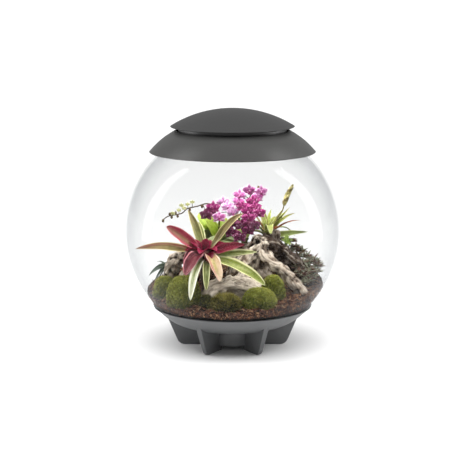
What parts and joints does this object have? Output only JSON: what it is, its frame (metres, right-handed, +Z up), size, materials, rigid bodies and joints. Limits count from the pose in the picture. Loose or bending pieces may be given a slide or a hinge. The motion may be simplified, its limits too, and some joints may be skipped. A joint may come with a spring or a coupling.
{
  "type": "glass plant terrarium",
  "caption": "Clear globe terrarium on a grey footed stand, with a domed lamp lid, planted with bromeliads, orchids, moss and driftwood.",
  "frame": {"origin": "on the floor under the ball's upright axis", "axes": "+Z up, -Y towards the side seen in front, +X to its right"},
  "size_m": [0.4998, 0.4998, 0.5535],
  "materials": {
    "stand_plastic": "satin",
    "clear_wall": "clear",
    "grey_plastic": "satin",
    "dark_plastic": "matt",
    "circuit_board": "matt",
    "diffuser": "frosted",
    "felt": "felted",
    "soil": "loose bark and coir, matt",
    "driftwood": "weathered",
    "moss": "velvety",
    "bromeliad_leaf": "waxy",
    "orchid_leaf": "waxy",
    "orchid_stem": "satin",
    "petal": "soft",
    "strap_leaf": "waxy",
    "flower_spike": "waxy",
    "rosette_leaf": "waxy",
    "small_leaf": "waxy"
  },
  "bodies": {
    "root": {"stand": "stand_plastic", "glass_ball": "clear_wall", "collar": "grey_plastic", "lid": "grey_plastic", "lamp_tray": "dark_plastic", "led_board": "circuit_board", "lamp_diffuser": "diffuser", "power_inlet": "dark_plastic", "felt_mat": "felt", "soil": "soil", "driftwood_main": "driftwood", "driftwood_front": "driftwood", "driftwood_left": "driftwood", "moss_back_left": "moss", "moss_left": "moss", "moss_shade": "moss", "moss_tuft": "moss", "moss_right": "moss", "moss_under_root": "moss", "bromeliad": "bromeliad_leaf", "orchid_left": "orchid_leaf", "orchid_left_stems": "orchid_stem", "bloom_left_1": "petal", "bloom_left_2": "petal", "bloom_left_3": "petal", "bloom_left_4": "petal", "bloom_left_5": "petal", "orchid_right": "orchid_leaf", "orchid_right_stems": "orchid_stem", "bloom_right_1": "petal", "bloom_right_2": "petal", "bloom_right_3": "petal", "bloom_right_4": "petal", "bloom_right_5": "petal", "bloom_right_6": "petal", "bloom_right_7": "petal", "bloom_right_8": "petal", "bloom_right_9": "petal", "bloom_right_10": "petal", "bloom_right_11": "petal", "strap_plant": "strap_leaf", "flower_spike": "flower_spike", "rosette_1": "rosette_leaf", "rosette_2": "rosette_leaf", "rosette_3": "rosette_leaf", "rosette_4": "rosette_leaf", "rosette_5": "rosette_leaf", "rosette_6": "rosette_leaf", "left_leaves": "small_leaf", "right_creeper": "small_leaf"}
  },
  "joints": []
}
